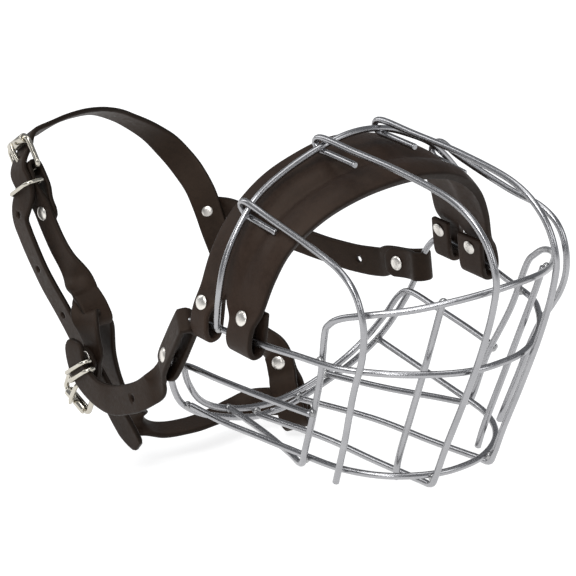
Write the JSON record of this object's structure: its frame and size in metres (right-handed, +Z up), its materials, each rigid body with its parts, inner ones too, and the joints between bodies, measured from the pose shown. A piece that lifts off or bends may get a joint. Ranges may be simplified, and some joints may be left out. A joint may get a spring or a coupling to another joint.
{
  "type": "basket muzzle",
  "caption": "Wire basket dog muzzle with a riveted leather nose pad and a leather harness of head, cheek and neck straps closed by roller buckles.",
  "frame": {"origin": "middle of the snout opening, level with the ring of wire round the cheeks and nose", "axes": "+X towards the dog's nose, +Y to the dog's left, +Z up"},
  "size_m": [0.3069, 0.159, 0.1926],
  "materials": {
    "basket_wire": "satin plated steel wire",
    "leather": "semi-gloss dark brown strap leather, edges darkened",
    "rivets": "nickel-plated",
    "hardware": "nickel-plated"
  },
  "bodies": {
    "basket": {"arch_wire": "basket_wire", "side_ring_wire": "basket_wire", "chin_inner_wire": "basket_wire", "bottom_rim_wire": "basket_wire", "nose_band_wire": "basket_wire", "top_wire_right": "basket_wire", "top_wire_left": "basket_wire", "top_wire_centre_right": "basket_wire", "top_wire_centre_left": "basket_wire", "front_upright_right": "basket_wire", "front_upright_left": "basket_wire", "nose_pad": "leather", "nose_pad_rivets": "rivets", "cheek_loop_right": "leather", "cheek_loop_left": "leather", "cheek_rivets": "rivets"},
    "harness": {"neck_strap": "leather", "cheek_strap_left": "leather", "head_strap": "leather", "head_buckle_strap": "leather", "neck_buckle_strap": "leather", "harness_rivets": "rivets", "head_buckle_frame": "hardware", "head_keeper": "hardware", "neck_buckle_frame": "hardware", "neck_keeper": "hardware"},
    "head_roller": {"head_buckle_roller": "hardware"},
    "head_prong": {"head_buckle_prong": "hardware"},
    "neck_roller": {"neck_buckle_roller": "hardware"},
    "neck_prong": {"neck_buckle_prong": "hardware"}
  },
  "joints": [
    {"name": "harness_swing", "type": "hinge", "parent": "basket", "child": "harness", "pos_m": [-0.047, 0, -0.031], "axis": [0, 1, 0], "range_deg": [-12, 25]},
    {"name": "head_roller_spin", "type": "hinge", "parent": "harness", "child": "head_roller", "pos_m": [-0.17173, -0.056, 0.03158], "axis": [0.7986, 0, 0.6018], "continuous": true},
    {"name": "head_prong_turn", "type": "hinge", "parent": "harness", "child": "head_prong", "pos_m": [-0.163, -0.056, 0.02], "axis": [0.7986, 0, 0.6018], "range_deg": [0, 24]},
    {"name": "neck_roller_spin", "type": "hinge", "parent": "harness", "child": "neck_roller", "pos_m": [-0.11067, -0.0695, -0.07535], "axis": [-0.9205, 0, 0.3907], "continuous": true},
    {"name": "neck_prong_turn", "type": "hinge", "parent": "harness", "child": "neck_prong", "pos_m": [-0.105, -0.0695, -0.062], "axis": [-0.9205, 0, 0.3907], "range_deg": [0, 60]}
  ]
}
